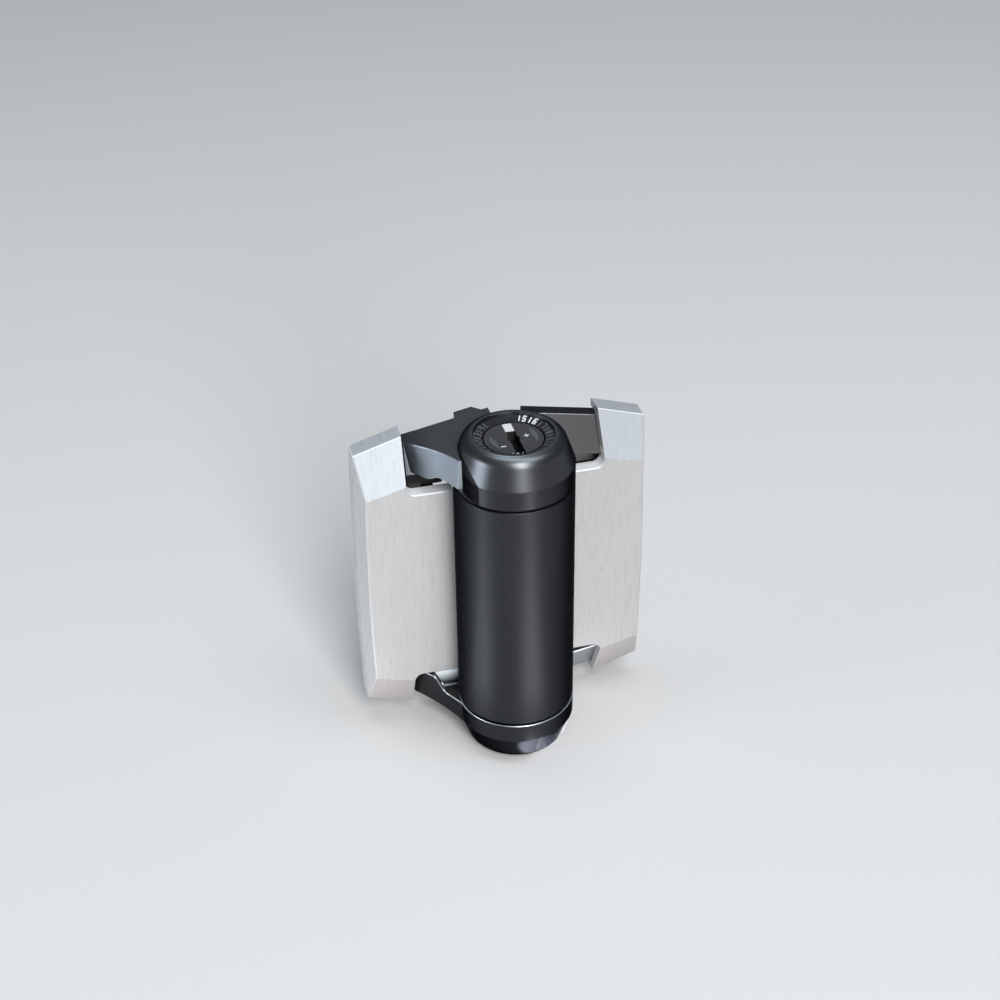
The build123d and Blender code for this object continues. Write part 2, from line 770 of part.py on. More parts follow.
def tail(angle, turn):
    """Bend and straight end of the wire, from the end of the coil inwards."""
    place, heading = coil_point(angle), coil_tangent(angle) * turn
    inward = Vector(-cos(angle), -sin(angle), 0)
    corner = place + heading * tail_bend + inward * tail_bend
    bend = Edge.make_tangent_arc(place, heading, corner)
    return [bend, Edge.make_line(corner, corner + inward * tail_length)]


def torsion_spring():
    """Wire coil from the lower anchor to the upper holder, with its two tails."""
    quarters = round(4 * coil_turns)
    edges = tail(0, -1) + tail(2 * pi * coil_turns, 1)
    for quarter in range(quarters):
        edges += quarter_turn(quarter * pi / 2, (quarter + 1) * pi / 2)
    path = Wire(edges)
    section = Plane(origin=path @ 0, z_dir=path % 0) * Circle(wire_radius)
    pitch = (coil_high - coil_low) / coil_turns
    print("spring length", round(path.length, 1), "least gap", round(pitch - 2 * wire_radius, 2))
    return sweep(section, path=path)


def pivot_pin():
    """Headed pin through the lower eye, with a groove for its clip."""
    head_top = -eye_top
    body = cylinder(pin_radius, head_top - pin_head_height, pin_top)
    body += cylinder(pin_head_radius, head_top - pin_head_height, head_top)
    low = anchor_boss_top + clip_gap
    return body - tube(pin_radius - clip_groove, far, low, low + clip_thickness)


def pin_clip():
    """Open retaining clip in the groove of the pivot pin."""
    low = anchor_boss_top + clip_gap
    body = tube(pin_radius - clip_groove, pin_radius + clip_reach, low, low + clip_thickness)
    half = clip_opening / 2
    return body - block((-half, half), (0, far), (low - 1, low + clip_thickness + 1))


def upper_bush():
    return tube(holder_radius + running_fit, bore_radius, barrel_half - bush_height, barrel_half)


def lower_bush():
    return tube(pin_radius + running_fit, pin_bush_radius, -barrel_half, anchor_boss_top)


def upper_washer():
    inner = holder_radius + washer_bore_room
    return tube(inner, barrel_radius - washer_recess, barrel_half, barrel_half + washer_thickness)


def lower_washer():
    inner = pin_radius + washer_bore_room
    return tube(inner, barrel_radius - washer_recess, -barrel_half - washer_thickness, -barrel_half)


nodes = {
    "post_leaf": post_leaf(),
    "post_backing_plate": to_left(backing_plate()),
    "post_plate_screws": to_left(plate_screws()),
    "upper_knuckle_cap": upper_cap(),
    "upper_snap_ring": snap_wire_ring(snap_start_angle, snap_span_angle),
    "dial_ring": dial_ring(),
    "click_spring": click_spring(),
    "lower_knuckle_cap": to_bottom(blank_cap(lower_arm, lower_flat_reach, lower_flat_lean)),
    "lower_snap_ring": to_bottom(snap_wire_ring(snap_start_angle, snap_span_angle)),
    "lower_plug": lower_plug(),
    "pivot_pin": pivot_pin(),
    "pivot_pin_clip": pin_clip(),
    "tension_dial": tension_dial(),
    "dial_pointer": dial_pointer(),
    "ratchet_wheel": ratchet_wheel(),
    "spring_holder": spring_holder(),
    "gate_leaf": gate_leaf(),
    "upper_bush": upper_bush(),
    "lower_bush": lower_bush(),
    "upper_thrust_washer": upper_washer(),
    "lower_thrust_washer": lower_washer(),
    "spring_anchor": spring_anchor(),
    "torsion_spring": torsion_spring(),
    "gate_backing_plate": backing_plate(),
    "gate_plate_screws": plate_screws(),
    "post_cover": to_left(cover()),
    "post_cover_carrier": to_left(cover_carrier()),
    "gate_cover": cover(),
    "gate_cover_carrier": cover_carrier(),
}

os.makedirs("parts", exist_ok=True)
for name, shape in nodes.items():
    export_step(shape, f"parts/{name}.step")
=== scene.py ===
"""Self-closing gate hinge: looks, floor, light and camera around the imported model. Lengths in metres."""

from math import atan2, cos, pi, radians, sin

import bmesh
import bpy
from mathutils import Matrix, Vector


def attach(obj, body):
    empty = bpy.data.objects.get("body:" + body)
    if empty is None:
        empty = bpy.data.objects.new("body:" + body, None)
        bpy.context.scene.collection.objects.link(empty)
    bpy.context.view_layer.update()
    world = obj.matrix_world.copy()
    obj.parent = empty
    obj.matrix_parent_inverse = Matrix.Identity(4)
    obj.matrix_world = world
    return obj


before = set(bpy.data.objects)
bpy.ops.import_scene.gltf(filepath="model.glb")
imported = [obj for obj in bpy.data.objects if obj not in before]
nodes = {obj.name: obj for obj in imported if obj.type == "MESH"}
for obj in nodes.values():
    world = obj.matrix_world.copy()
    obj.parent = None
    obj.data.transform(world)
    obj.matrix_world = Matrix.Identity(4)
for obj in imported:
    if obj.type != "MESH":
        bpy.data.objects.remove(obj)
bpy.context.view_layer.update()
scene = bpy.context.scene
MM = 0.001

# Places on the barrel, its caps and its dial, in millimetres
BARREL_RADIUS = 16.0
BARREL_EDGE = (BARREL_RADIUS + 0.1, BARREL_RADIUS + 0.25)
CONE_START = (40.7, 41.1)
CROWN = (46.0, 48.7)
RIM = (48.75, 48.95)
LOWER_RING_EDGE = (-36, -35)
DISC_TOP = 47.35
SLOT_SHADE = (DISC_TOP - 0.5, DISC_TOP - 0.1)
POINTER_TOP = (47.0, 47.1)
RING_INNER = 8.1
RING_OUTER = 10.6
RING_TOP = 48.0
RING_FALL = 0.65

# Stretches of the arms with painted sheen, light or shade of their own, in millimetres
LEVELS = (-30, 30)
ARMS_Z = (28.5, 60)
UPPER_ARM_Z = (20, 60)
BESIDE_COVER_X = (-26.5, -19)
ARM_END_X = (-26.8, -26)
HOLLOW_X = (-40, -15)
HOLLOW_Z = (26, 32.8)
HOLLOW_FADE_Z = (28.8, 30.8)
WALL_Y = (6.3, 8.2)
WALL_Z = (-35.2, -28)
WALL_FADE_Z = (-34.6, -31.4)
UNDER_ARM_X = (16.5, 40)
UNDER_ARM_Y = (11.6, 30)
UNDER_ARM_Z = (26, 33)

# The step of the lower arm, where X plus a share of Z is constant
STEP_SLANT = 0.48
STEP_PLACE = -36.0
STEP_SOFT = 0.1

# The lips of the notches in the covers, which get painted light, in millimetres
LIP_X = (0, 27.3)
LIP_Y = (7.65, 20)
LIP_Z = (28.7, 34)

# How far up a surface faces where an edge gets a painted highlight as a pale line: the gate arm's sloping
# face stays plain
EDGE_BEND = (0.2, 0.95)
GATE_EDGE_BEND = (0.62, 0.95)

# Floor and the lamps that lie on it, in millimetres
FLOOR_HEIGHT = -49.0
CARD_HEIGHT = -48.6

BLACK = (0.048, 0.050, 0.054)
# Painted sheen on the fronts of the arms: a lit copy on the upper post arms, a shaded copy on the lower
# ones, a darker copy on the upper gate arm and a lighter one on the gate foot. LEAF_BLACK is the leaf's own
# black.
UPPER_ARM_PAINTED_SHEEN = (0.33, 0.37, 0.42)
LOWER_ARM_SHADED_PAINTED_SHEEN = (0.075, 0.075, 0.08)
GATE_ARM_PAINTED_SHEEN = (0.125, 0.125, 0.13)
LEAF_BLACK = (0.035, 0.035, 0.038)
GATE_FOOT_PAINTED_SHEEN = (0.52, 0.55, 0.59)
# Painted shade on the flat tops of the arms
FLAT_TOP_PAINTED_SHADE = (0.07, 0.062, 0.058)
# Painted shade beside the cover and at the end of the upper post arm
PAINTED_SHADE_BESIDE_COVER = (0.12, 0.127, 0.145)
PAINTED_SHADE_ARM_END = (0.03, 0.031, 0.033)
# Painted light and shade in the hollow under the upper post arm
HOLLOW_PAINTED_LIGHT = (0.075, 0.070, 0.066)
HOLLOW_PAINTED_SHADE = (0.012, 0.012, 0.013)
# Painted highlight and shade on the wall above the lower post arm
WALL_PAINTED_SHADE = (0.02, 0.022, 0.025)
WALL_PAINTED_HIGHLIGHT = (0.84, 0.91, 0.95)
# Painted light on the shaded web under the upper gate arm
PAINTED_LIGHT_UNDER_ARM = (0.30, 0.295, 0.29)
GRAIN_DARK = (0.034, 0.036, 0.040)
GRAIN_LIGHT = (0.050, 0.052, 0.056)
# CAP_SIDES is the cap's own black; the three after it are painted highlights, paler from the cone up to the
# rim
CAP_SIDES = (0.043, 0.045, 0.049)
CAP_CONE_PAINTED_HIGHLIGHT = (0.100, 0.104, 0.112)
CAP_CROWN_PAINTED_HIGHLIGHT = (0.16, 0.17, 0.18)
CAP_RIM_PAINTED_HIGHLIGHT = (0.28, 0.30, 0.32)
DIAL_BLACK = (0.055, 0.056, 0.060)
# Painted shade in the dial's slot
PAINTED_SLOT_SHADE = (0.003, 0.003, 0.004)
POINTER_SIDES = (0.02, 0.02, 0.022)
WHITE_PAINT = (0.85, 0.86, 0.86)
COVER = (0.475, 0.475, 0.478)
# Painted light on the covers' faces turned up and painted shade on faces turned down
COVER_TOP_PAINTED_LIGHT = (0.495, 0.525, 0.56)
COVER_UNDERSIDE_PAINTED_SHADE = (0.43, 0.41, 0.40)
# Painted highlight on the covers' rounded edges
COVER_EDGE_PAINTED_HIGHLIGHT = (0.88, 0.88, 0.89)
# Painted light on the lips of the notches, which lie in the arms' shade
COVER_LIP_PAINTED_LIGHT = (0.96, 0.96, 0.97)
EDGE_TINT = (0.15, 0.15, 0.16, 1)
# Painted highlight along rounded edges of the arms and the lower ring
PAINTED_EDGE_HIGHLIGHT = (0.55, 0.60, 0.66)
FLOOR_PALE = (0.84, 0.83, 0.82)
BLUE_LIGHT = (0.84, 0.92, 1.0)
WARM_LIGHT = (1.0, 0.95, 0.90)
WORLD_LIGHT = (0.92, 0.96, 1.0, 1)
WORLD_STRENGTH = 0.16


# Materials

class Shader:
    """A material built from nodes around one principled shader."""

    def __init__(self, name, colour, roughness, **sockets):
        self.material = bpy.data.materials.new(name)
        self.material.use_nodes = True
        self.tree = self.material.node_tree
        self.shader = self.tree.nodes["Principled BSDF"]
        self.set("Base Color", (*colour, 1))
        self.set("Roughness", roughness)
        self.whole = self.place((1, 1, 1))
        for socket, value in sockets.items():
            self.set(socket.replace("_", " "), value)

    def set(self, socket, value):
        self.shader.inputs[socket].default_value = value

    def node(self, kind, **values):
        made = self.tree.nodes.new("ShaderNode" + kind)
        for key, value in values.items():
            setattr(made, key, value)
        return made

    def link(self, start, end):
        self.tree.links.new(start, end)

    def place(self, scale):
        """Object coordinates stretched by a scale for each axis."""
        coordinates = self.node("TexCoord")
        mapping = self.node("Mapping")
        mapping.inputs["Scale"].default_value = scale
        self.link(coordinates.outputs["Object"], mapping.inputs["Vector"])
        return mapping.outputs["Vector"]

    def noise(self, vector, scale, detail, roughness=0.6):
        made = self.node("TexNoise")
        made.inputs["Scale"].default_value = scale
        made.inputs["Detail"].default_value = detail
        made.inputs["Roughness"].default_value = roughness
        self.link(vector, made.inputs["Vector"])
        return made.outputs["Fac"]

    def ramp(self, value, low, high, to_low=0, to_high=1):
        made = self.node("MapRange")
        limits = {"From Min": low, "From Max": high, "To Min": to_low, "To Max": to_high}
        for name, limit in limits.items():
            made.inputs[name].default_value = limit
        self.link(value, made.inputs["Value"])
        return made.outputs["Result"]

    def blend(self, value, first, second):
        """Mix of two colours, each a colour or an output, by a value."""
        mix = self.node("Mix", data_type="RGBA")
        self.link(value, mix.inputs[0])
        for socket, colour in ((mix.inputs[6], first), (mix.inputs[7], second)):
            if isinstance(colour, tuple):
                socket.default_value = (*colour, 1)
            else:
                self.link(colour, socket)
        return mix.outputs[2]

    def times(self, *values):
        product = values[0]
        for value in values[1:]:
            step = self.node("Math", operation="MULTIPLY")
            self.link(product, step.inputs[0])
            self.link(value, step.inputs[1])
            product = step.outputs[0]
        return product

    def paint(self, colour):
        self.link(colour, self.shader.inputs["Base Color"])

    def rough(self, value):
        self.link(value, self.shader.inputs["Roughness"])

    def bump(self, height, strength, distance):
        made = self.node("Bump")
        made.inputs["Strength"].default_value = strength
        made.inputs["Distance"].default_value = distance
        self.link(height, made.inputs["Height"])
        self.link(made.outputs["Normal"], self.shader.inputs["Normal"])

    def axis(self, name):
        """Object coordinate along one axis, in metres."""
        split = self.node("SeparateXYZ")
        self.link(self.whole, split.inputs[0])
        return split.outputs[name]

    def along(self, axis, places, first=0, last=1):
        """Value that goes from first to last between two places on an axis, in millimetres."""
        return self.ramp(self.axis(axis), places[0] * MM, places[1] * MM, first, last)

    def within(self, axis, places, soft=0.2, mirrored=False):
        """One where a coordinate lies between two places in millimetres, nought outside them."""
        value = self.axis(axis)
        if mirrored:
            size = self.node("Math", operation="ABSOLUTE")
            self.link(value, size.inputs[0])
            value = size.outputs[0]
        above = self.ramp(value, (places[0] - soft) * MM, places[0] * MM)
        below = self.ramp(value, places[1] * MM, (places[1] + soft) * MM, 1, 0)
        return self.times(above, below)

    def beside_step(self):
        """One on the barrel's side of the slanting step of the lower arm."""
        split = self.node("SeparateXYZ")
        slanted = self.node("Math", operation="MULTIPLY_ADD")
        self.link(self.whole, split.inputs[0])
        self.link(split.outputs["Z"], slanted.inputs[0])
        slanted.inputs[1].default_value = STEP_SLANT
        self.link(split.outputs["X"], slanted.inputs[2])
        return self.ramp(slanted.outputs[0], (STEP_PLACE - STEP_SOFT) * MM, (STEP_PLACE + STEP_SOFT) * MM)

    def on_barrel(self):
        """One inside the radius of the barrel, nought outside it."""
        split = self.node("SeparateXYZ")
        flat = self.node("CombineXYZ")
        length = self.node("VectorMath", operation="LENGTH")
        self.link(self.whole, split.inputs[0])
        self.link(split.outputs["X"], flat.inputs["X"])
        self.link(split.outputs["Y"], flat.inputs["Y"])
        self.link(flat.outputs[0], length.inputs[0])
        return self.ramp(length.outputs["Value"], BARREL_EDGE[0] * MM, BARREL_EDGE[1] * MM, 1, 0)

    def upward(self):
        """How far a surface faces up, from minus one to one."""
        split = self.node("SeparateXYZ")
        self.link(self.node("NewGeometry").outputs["Normal"], split.inputs[0])
        return split.outputs["Z"]

    def backward(self):
        """How far a surface faces the back of its piece, from minus one at the front to one."""
        split = self.node("SeparateXYZ")
        self.link(self.node("TexCoord").outputs["Normal"], split.inputs[0])
        return split.outputs["Y"]

    def frontal(self):
        """One on the front and sides of a piece, nought on its back."""
        return self.ramp(self.backward(), -0.3, 0, 1, 0)

    def bend(self, low, high, soft=0.1):
        """One on rounded edges, where a surface turns from facing out to facing up."""
        up = self.upward()
        return self.times(self.ramp(up, low, low + soft), self.ramp(up, high - soft, high, 1, 0))


def moulded(name, colour, roughness, grain=1.0, shade=None):
    """Moulded plastic with fine grain and slight clouds; if a shade is given, painted shade makes it black
    below those heights.
    """
    made = Shader(name, colour, roughness)
    clouds = made.noise(made.whole, scale=90, detail=3)
    fine = made.noise(made.whole, scale=2600, detail=2, roughness=0.7)
    lighter = tuple(min(1, c * 1.25 + 0.002) for c in colour)
    tone = made.blend(made.ramp(clouds, 0.3, 0.7, 0, 0.6), colour, lighter)
    # Painted shade: black below the given heights, for the dial's slot
    if shade:
        tone = made.blend(made.along("Z", shade, 1, 0), tone, PAINTED_SLOT_SHADE)
    made.paint(tone)
    made.rough(made.ramp(fine, 0.2, 0.8, roughness - 0.04, roughness + 0.06))
    made.bump(fine, strength=0.10 * grain, distance=0.2 * MM)
    return made.material


def metal(name, colour, roughness, stretch=(1, 1, 1)):
    """Plated or drawn metal with fine marks."""
    made = Shader(name, colour, roughness, Metallic=1.0)
    marks = made.noise(made.place(stretch), scale=500, detail=5)
    made.paint(made.blend(made.ramp(marks, 0.3, 0.75), colour, tuple(c * 0.8 for c in colour)))
    made.rough(made.ramp(marks, 0.2, 0.8, roughness - 0.06, roughness + 0.1))
    made.bump(marks, strength=0.08, distance=0.1 * MM)
    return made.material


def painted_sheen_moulding(name, colours, roughness, bend):
    """Smooth black moulding with its colour and gloss. The fronts of the arms get a painted sheen, a
    lighter or darker copy on lower and upper arms, with painted shade on flat tops and painted highlights
    on edges; elsewhere the leaf stays black.
    """
    made = Shader(name, colours[0], roughness, Metallic=0.9, Specular_Tint=EDGE_TINT)
    clouds = made.noise(made.whole, scale=120, detail=3)
    fine = made.noise(made.whole, scale=2200, detail=2, roughness=0.7)
    # Painted sheen: a darker copy low down and a lighter one high up on the post arms, the other way round
    # on the gate arms
    level = made.along("Z", LEVELS)
    sheen = made.blend(level, colours[0], colours[1])
    lighter = made.blend(level, *(tuple(c * 1.15 for c in colour) for colour in colours))
    sheen = made.blend(made.ramp(clouds, 0.3, 0.7, 0, 0.6), sheen, lighter)
    # Painted shade on faces turned up
    sheen = made.blend(made.ramp(made.upward(), 0.95, 0.99, 0, 0.5), sheen, FLAT_TOP_PAINTED_SHADE)
    # Painted highlight along rounded edges
    sheen = made.blend(made.bend(*bend), sheen, PAINTED_EDGE_HIGHLIGHT)
    # The painted sheen goes only on the front faces of the arms; elsewhere the leaf keeps its own black
    front = made.ramp(made.backward(), 0.1, 0.4, 1, 0)
    painted_sheen_mask = made.times(made.within("Z", ARMS_Z, soft=1.5, mirrored=True), front)
    gloss = made.ramp(fine, 0.2, 0.8, roughness - 0.02, roughness + 0.02)
    made.rough(gloss)
    return made, made.blend(painted_sheen_mask, LEAF_BLACK, sheen), gloss


def post_arms(name):
    """Post leaf: painted sheen on the arms, painted shade beside the cover and at the end of the upper arm,
    painted light and shade in the hollow under it, and a painted highlight on the wall above the lower arm.
    """
    made, sheen, _ = painted_sheen_moulding(name, (LOWER_ARM_SHADED_PAINTED_SHEEN, UPPER_ARM_PAINTED_SHEEN), 0.30, EDGE_BEND)
    # Painted shade beside the cover and at the end of the upper arm
    upper = made.within("Z", UPPER_ARM_Z)
    beside = made.along("X", BESIDE_COVER_X, 1, 0)
    painted_light_and_shade = made.blend(made.times(beside, upper), sheen, PAINTED_SHADE_BESIDE_COVER)
    end = made.along("X", ARM_END_X, 1, 0)
    painted_light_and_shade = made.blend(made.times(end, upper), painted_light_and_shade, PAINTED_SHADE_ARM_END)
    # Painted light and shade in the hollow under the upper arm: paler low down, near black up under the arm
    beneath = made.times(made.within("Z", HOLLOW_Z), made.within("X", HOLLOW_X), made.frontal())
    hollow = made.blend(made.along("Z", HOLLOW_FADE_Z), HOLLOW_PAINTED_LIGHT, HOLLOW_PAINTED_SHADE)
    painted_light_and_shade = made.blend(beneath, painted_light_and_shade, hollow)
    # Painted highlight at the top of the wall above the lower arm, fading to painted shade near the arm
    wall = made.times(made.within("Z", WALL_Z), made.within("Y", WALL_Y), made.beside_step())
    tone = made.blend(made.along("Z", WALL_FADE_Z), WALL_PAINTED_SHADE, WALL_PAINTED_HIGHLIGHT)
    made.paint(made.blend(wall, painted_light_and_shade, tone))
    shine = made.times(made.ramp(wall, 0, 1, 0.9, 0), made.ramp(beneath, 0, 1, 1, 0))
    made.link(shine, made.shader.inputs["Metallic"])
    return made.material


def barrel_and_arms(name):
    """Gate leaf: a matt barrel with fine grain, and arms with a painted sheen and painted light on the
    shaded web under the upper arm.
    """
    made, sheen, gloss = painted_sheen_moulding(name, (GATE_FOOT_PAINTED_SHEEN, GATE_ARM_PAINTED_SHEEN), 0.33, GATE_EDGE_BEND)
    mask = made.on_barrel()
    fine = made.noise(made.whole, scale=3000, detail=3, roughness=0.75)
    grain = made.blend(made.ramp(fine, 0.3, 0.7), GRAIN_DARK, GRAIN_LIGHT)
    # Painted light on the shaded web under the upper arm
    under = made.times(made.within("Z", UNDER_ARM_Z), made.within("X", UNDER_ARM_X),
                       made.within("Y", UNDER_ARM_Y), made.frontal())
    painted_light_and_shade = made.blend(under, sheen, PAINTED_LIGHT_UNDER_ARM)
    made.paint(made.blend(mask, painted_light_and_shade, grain))
    plain = made.ramp(under, 0, 1, 1, 0)
    made.link(made.times(made.ramp(mask, 0, 1, 0.9, 1), plain), made.shader.inputs["Metallic"])
    rough = made.node("Mix", data_type="FLOAT")
    made.link(mask, rough.inputs[0])
    made.link(gloss, rough.inputs[2])
    made.link(made.ramp(fine, 0.2, 0.8, 0.37, 0.45), rough.inputs[3])
    made.rough(rough.outputs[0])
    made.bump(made.times(fine, mask), strength=0.12, distance=0.2 * MM)
    return made.material


def barrel_cap(name):
    """Smooth black cap, with painted highlights growing paler from the cone to the rim round the dial, and
    a painted highlight line along the top edge of the lower ring.
    """
    made = Shader(name, BLACK, 0.33, Metallic=1.0, Specular_Tint=EDGE_TINT)
    # Painted highlight, paler from the cone up to the crown and the rim
    top = made.blend(made.along("Z", CONE_START), CAP_SIDES, CAP_CONE_PAINTED_HIGHLIGHT)
    top = made.blend(made.along("Z", CROWN), top, CAP_CROWN_PAINTED_HIGHLIGHT)
    top = made.blend(made.along("Z", RIM), top, CAP_RIM_PAINTED_HIGHLIGHT)
    # Painted highlight along the top edge of the lower ring
    ring_edge = made.times(made.within("Z", LOWER_RING_EDGE), made.bend(*EDGE_BEND))
    made.paint(made.blend(ring_edge, top, PAINTED_EDGE_HIGHLIGHT))
    return made.material


def marked_pointer(name):
    """Dark pointer whose top is painted white."""
    made = Shader(name, WHITE_PAINT, 0.5)
    made.paint(made.blend(made.along("Z", POINTER_TOP), POINTER_SIDES, WHITE_PAINT))
    return made.material


def brushed(name):
    """Brushed pressed cover: fine lines that run up and down, painted light on the lips and cool painted
    light on faces turned up, warm painted shade on faces turned down, and painted highlights on rounded
    edges.
    """
    made = Shader(name, COVER, 0.42, Metallic=0.15)
    lines = made.noise(made.place((1, 0.06, 0.06)), scale=3300, detail=5, roughness=0.75)
    # Painted light on faces turned up, painted shade on faces turned down
    up = made.upward()
    tilted = made.blend(made.ramp(up, 0.1, 0.45), COVER, COVER_TOP_PAINTED_LIGHT)
    tilted = made.blend(made.ramp(up, -0.35, -0.1, 1, 0), tilted, COVER_UNDERSIDE_PAINTED_SHADE)
    shade = made.blend(made.ramp(lines, 0.5, 0.72), (1, 1, 1), (0.78, 0.78, 0.78))
    brushing = made.node("Mix", data_type="RGBA", blend_type="MULTIPLY")
    brushing.inputs[0].default_value = 1
    made.link(tilted, brushing.inputs[6])
    made.link(shade, brushing.inputs[7])
    # Painted highlight along rounded edges
    edged = made.blend(made.bend(0.55, 0.94, soft=0.06), brushing.outputs[2], COVER_EDGE_PAINTED_HIGHLIGHT)
    # Painted light on the lips of the notches, which lie in the arms' shade
    inward = made.ramp(made.backward(), -0.8, -0.65)
    lips = made.times(made.within("X", LIP_X, mirrored=True), made.within("Z", LIP_Z),
                      made.within("Y", LIP_Y), inward)
    made.paint(made.blend(lips, edged, COVER_LIP_PAINTED_LIGHT))
    made.rough(made.ramp(lines, 0.3, 0.75, 0.38, 0.48))
    made.bump(lines, strength=0.08, distance=0.1 * MM)
    return made.material


arms = post_arms("black_arms")
barrel = barrel_and_arms("black_barrel_and_arms")
cap = barrel_cap("black_cap")
pointer = marked_pointer("pointer_white")
dial_plastic = moulded("dial_plastic", DIAL_BLACK, 0.34, grain=0.5)
slotted_plastic = moulded("slotted_dial_plastic", DIAL_BLACK, 0.34, grain=0.5, shade=SLOT_SHADE)
ring_plastic = moulded("dial_ring_plastic", (0.016, 0.017, 0.018), 0.34, grain=0.5)
number_plastic = moulded("number_plastic", (0.11, 0.115, 0.12), 0.30, grain=0.5)
# White print on the dial's signs and dots, also painted highlight on the ring's digits and ticks that catch
# the light
white_mark = moulded("white_mark", WHITE_PAINT, 0.5, grain=0.3)
holder_plastic = moulded("holder_plastic", (0.55, 0.55, 0.52), 0.45)
bush_plastic = moulded("bush_plastic", (0.05, 0.05, 0.055), 0.4)
washer_plastic = moulded("washer_plastic", (0.02, 0.02, 0.022), 0.35)
carrier_plastic = moulded("carrier_plastic", (0.03, 0.03, 0.033), 0.5)
zinc = metal("zinc_steel", (0.62, 0.63, 0.64), 0.3)
plate = metal("steel_plate", (0.42, 0.43, 0.44), 0.42, stretch=(1, 1, 0.15))
spring = metal("spring_steel", (0.35, 0.36, 0.38), 0.3)
cover = brushed("brushed_cover")

finishes = {
    "post_leaf": arms, "gate_leaf": barrel, "upper_knuckle_cap": cap, "lower_knuckle_cap": cap,
    "lower_plug": dial_plastic, "dial_ring": ring_plastic, "tension_dial": slotted_plastic,
    "dial_pointer": pointer, "ratchet_wheel": holder_plastic, "spring_holder": holder_plastic,
    "spring_anchor": holder_plastic, "upper_bush": bush_plastic, "lower_bush": bush_plastic,
    "upper_thrust_washer": washer_plastic, "lower_thrust_washer": washer_plastic,
    "torsion_spring": spring, "click_spring": spring, "upper_snap_ring": spring,
    "lower_snap_ring": spring, "pivot_pin_clip": spring, "pivot_pin": zinc,
    "post_plate_screws": zinc, "gate_plate_screws": zinc, "post_backing_plate": plate,
    "gate_backing_plate": plate, "post_cover": cover, "gate_cover": cover,
    "post_cover_carrier": carrier_plastic, "gate_cover_carrier": carrier_plastic,
}
for name, finish in finishes.items():
    for slot in nodes[name].material_slots:
        slot.material = finish


# Marks on the dial and its ring, in millimetres

NUMBER_START = 8.4
NUMBER_RISE = 0.18
TICK = (0.17, 1.9)
TICK_RISE = 0.16
ARROW_RADIUS = 6.3
ARROW_WIDTH = 1.35
ARROW_RISE = 0.10
ARROW_SINK = 0.03
ARROW_STEPS = 16
SIGN_HALF = (0.7, 0.15)
SIGN_RISE = 0.07
PLUS_PLACE = (3.5, 0.5)
MINUS_PLACE = (-3.5, -3.3)
DOTS = ((177, 0.12), (187, 0.3), (197, 0.12))
DOT_START = 7.3
DOT_LENGTH = 0.25
DOT_RISE = 0.05


def piece(name, maker, material, body):
    """Mesh piece from a bmesh in millimetres, which rides on a body."""
    bmesh.ops.recalc_face_normals(maker, faces=maker.faces[:])
    bmesh.ops.scale(maker, vec=(MM, MM, MM), verts=maker.verts[:])
    mesh = bpy.data.meshes.new(name)
    maker.to_mesh(mesh)
    maker.free()
    mesh.materials.append(material)
    made = bpy.data.objects.new(name, mesh)
    scene.collection.objects.link(made)
    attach(made, body)
    return made


def disc_height(x, y):
    """Height of the disc, which is flat."""
    return DISC_TOP


def ring_height(x, y):
    """Height of the ring, which slopes down to the dial."""
    share = (RING_OUTER - Vector((x, y)).length) / (RING_OUTER - RING_INNER)
    return RING_TOP - RING_FALL * share


def close_block(maker, floor_points, top_points):
    """Top, bottom and sides of a block between two outlines."""
    maker.faces.new(top_points)
    maker.faces.new(floor_points[::-1])
    for i in range(len(top_points)):
        j = (i + 1) % len(top_points)
        maker.faces.new((floor_points[i], floor_points[j], top_points[j], top_points[i]))


def raise_outline(maker, points, height, rise, sink=0.05, taper=0.94):
    """Closed outline in X and Y raised from a surface, with a slightly smaller top."""
    centre = sum((Vector(p) for p in points), Vector((0, 0))) / len(points)
    floor_points = [maker.verts.new((x, y, height(x, y) - sink)) for x, y in points]
    top_points = []
    for x, y in points:
        inset = centre + (Vector((x, y)) - centre) * taper
        top_points.append(maker.verts.new((inset.x, inset.y, height(x, y) + rise)))
    close_block(maker, floor_points, top_points)


def turned(points, angle, radius):
    """Outline drawn upright at the origin, moved out to a radius and turned clockwise from the back."""
    a = radians(angle)
    return [(x * cos(a) + (y + radius) * sin(a), -x * sin(a) + (y + radius) * cos(a)) for x, y in points]


def bar(x0, y0, x1, y1):
    return [(x0, y0), (x1, y0), (x1, y1), (x0, y1)]


# Digits as strokes on a grid one wide and two high
STROKES = {
    "1": [(0.35, 0, 0.65, 2)],
    "2": [(0, 1.7, 1, 2), (0.7, 1, 1, 1.7), (0, 0.85, 1, 1.15), (0, 0.3, 0.3, 0.85), (0, 0, 1, 0.3)],
    "3": [(0, 1.7, 1, 2), (0.7, 0.3, 1, 1.7), (0.2, 0.85, 0.7, 1.15), (0, 0, 1, 0.3)],
    "4": [(0, 1, 0.3, 2), (0, 0.85, 1, 1.15), (0.7, 0, 1, 0.85), (0.7, 1.15, 1, 2)],
    "5": [(0, 1.7, 1, 2), (0, 1.15, 0.3, 1.7), (0, 0.85, 1, 1.15), (0.7, 0.3, 1, 0.85), (0, 0, 1, 0.3)],
    "6": [(0, 1.7, 1, 2), (0, 0, 0.3, 1.7), (0.3, 0.85, 1, 1.15), (0.7, 0.3, 1, 0.85), (0.3, 0, 1, 0.3)],
    "7": [(0, 1.7, 1, 2), (0.7, 0, 1, 1.7)],
    "8": [(0, 1.7, 1, 2), (0, 0, 0.3, 1.7), (0.7, 0, 1, 1.7), (0.3, 0.85, 0.7, 1.15), (0.3, 0, 0.7, 0.3)],
    "9": [(0, 1.7, 1, 2), (0, 0.85, 0.3, 1.7), (0.7, 0, 1, 1.7), (0.3, 0.85, 0.7, 1.15), (0, 0, 0.7, 0.3)],
}


